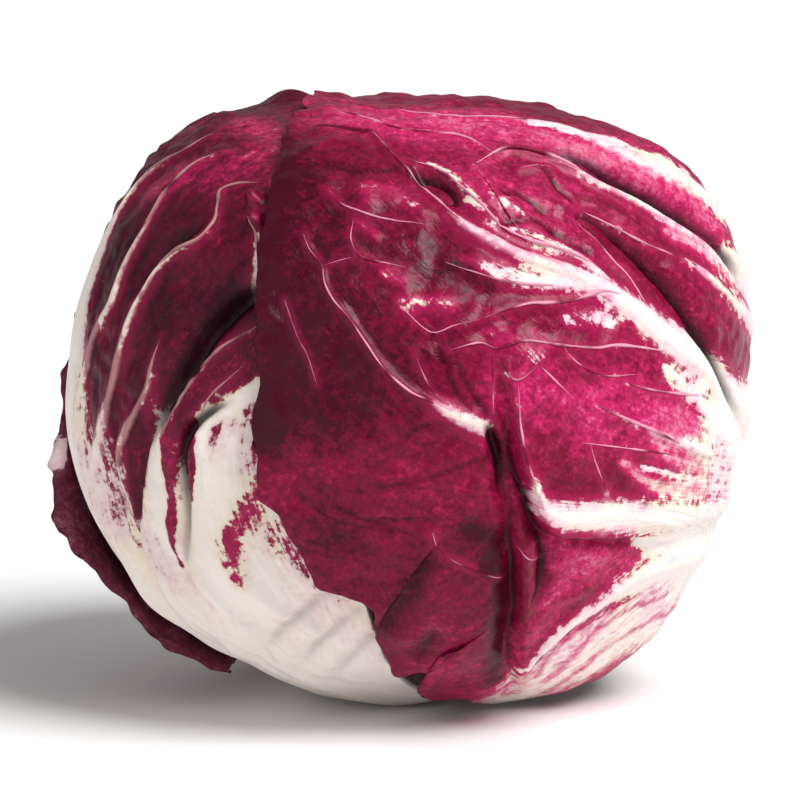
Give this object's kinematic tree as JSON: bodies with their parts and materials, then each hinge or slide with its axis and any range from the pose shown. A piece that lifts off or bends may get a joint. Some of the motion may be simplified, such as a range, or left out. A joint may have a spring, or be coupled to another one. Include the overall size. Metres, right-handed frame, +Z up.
{
  "type": "radicchio head",
  "caption": "Whole round radicchio head: overlapping dark red leaves with white ribs wrapped round a cut root stump, resting on a small flat of its lowest leaf.",
  "frame": {"origin": "centre of the flat spot the head rests on, on the underside of its lowest leaf", "axes": "+Z up, +X towards the side that carries the front leaf's ribs (the right, seen from the front), +Y away from the front"},
  "size_m": [0.134, 0.1232, 0.1154],
  "materials": {
    "outer_leaf": null,
    "inner_leaf": null,
    "heart": null,
    "stump": null
  },
  "bodies": {
    "root": {"back_left_outer_leaf": "outer_leaf", "front_outer_leaf": "outer_leaf", "left_outer_leaf": "outer_leaf", "back_right_outer_leaf": "outer_leaf", "lower_right_outer_leaf": "outer_leaf", "top_left_outer_leaf": "outer_leaf", "inner_leaf_01": "inner_leaf", "inner_leaf_02": "inner_leaf", "inner_leaf_03": "inner_leaf", "inner_leaf_04": "inner_leaf", "inner_leaf_05": "inner_leaf", "inner_leaf_06": "inner_leaf", "inner_leaf_07": "inner_leaf", "inner_leaf_08": "inner_leaf", "inner_leaf_09": "inner_leaf", "inner_leaf_10": "inner_leaf", "inner_leaf_11": "inner_leaf", "heart_bud": "heart", "stump": "stump"}
  },
  "joints": []
}
